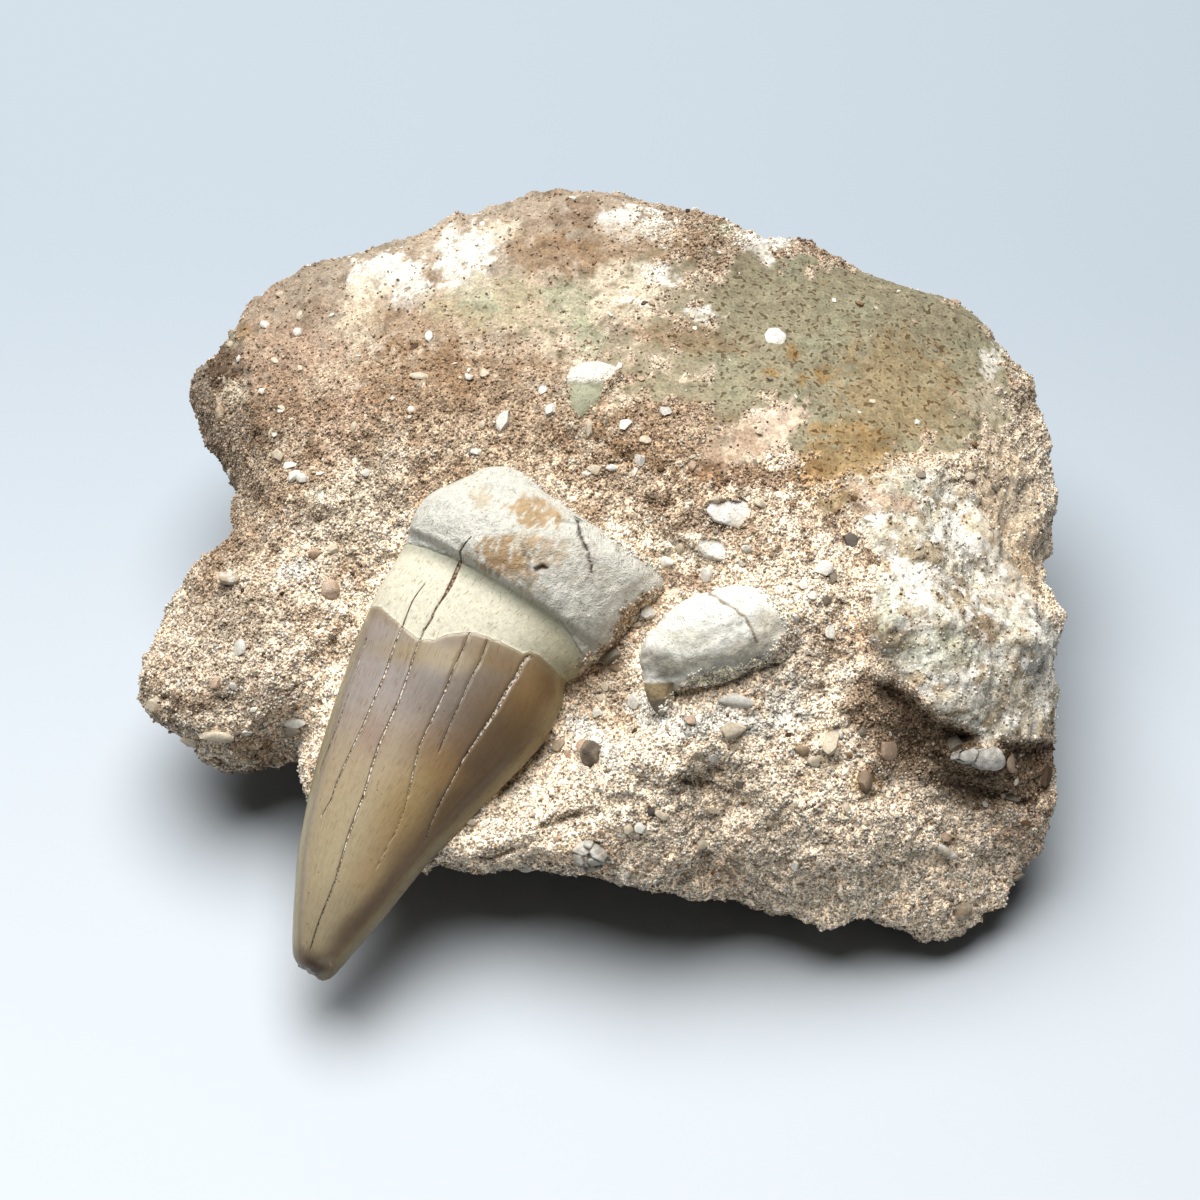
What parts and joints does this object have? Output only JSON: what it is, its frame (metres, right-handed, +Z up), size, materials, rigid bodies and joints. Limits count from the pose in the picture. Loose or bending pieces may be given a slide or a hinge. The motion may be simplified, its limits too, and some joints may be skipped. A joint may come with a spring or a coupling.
{
  "type": "fossil shark tooth in matrix",
  "caption": "Large fossil shark tooth half buried in a rough block of sandy phosphate rock, its point hanging free over the edge, with a side cusp, a small tooth and chips beside it.",
  "frame": {"origin": "on the flat spot that the block rests on, near the middle of that spot", "axes": "+X across the block to the right when the tooth's point is towards the viewer, +Y away from the viewer, +Z up out of the flat spot"},
  "size_m": [0.1222, 0.1089, 0.0477],
  "materials": {
    "phosphate_rock": "matte",
    "tooth": "satin",
    "root_bone": "matte",
    "small_tooth": "satin",
    "bone_fragment": "matte",
    "grey_pebble": "satin",
    "shell_chip_upper": "matte",
    "shell_chip_lower": "matte",
    "white_chip": "matte",
    "brown_pebble": "satin",
    "pink_pebble": "matte",
    "rim_pebble": "matte",
    "white_splinter": "matte",
    "left_chip": "matte",
    "edge_pebble": "matte"
  },
  "bodies": {
    "root": {"rock": "phosphate_rock", "shark_tooth": "tooth", "side_cusp": "root_bone", "small_tooth": "small_tooth", "bone_fragment": "bone_fragment", "grey_pebble": "grey_pebble", "shell_chip_upper": "shell_chip_upper", "shell_chip_lower": "shell_chip_lower", "white_chip": "white_chip", "brown_pebble": "brown_pebble", "pink_pebble": "pink_pebble", "rim_pebble": "rim_pebble", "white_splinter": "white_splinter", "left_chip": "left_chip", "edge_pebble": "edge_pebble"}
  },
  "joints": []
}
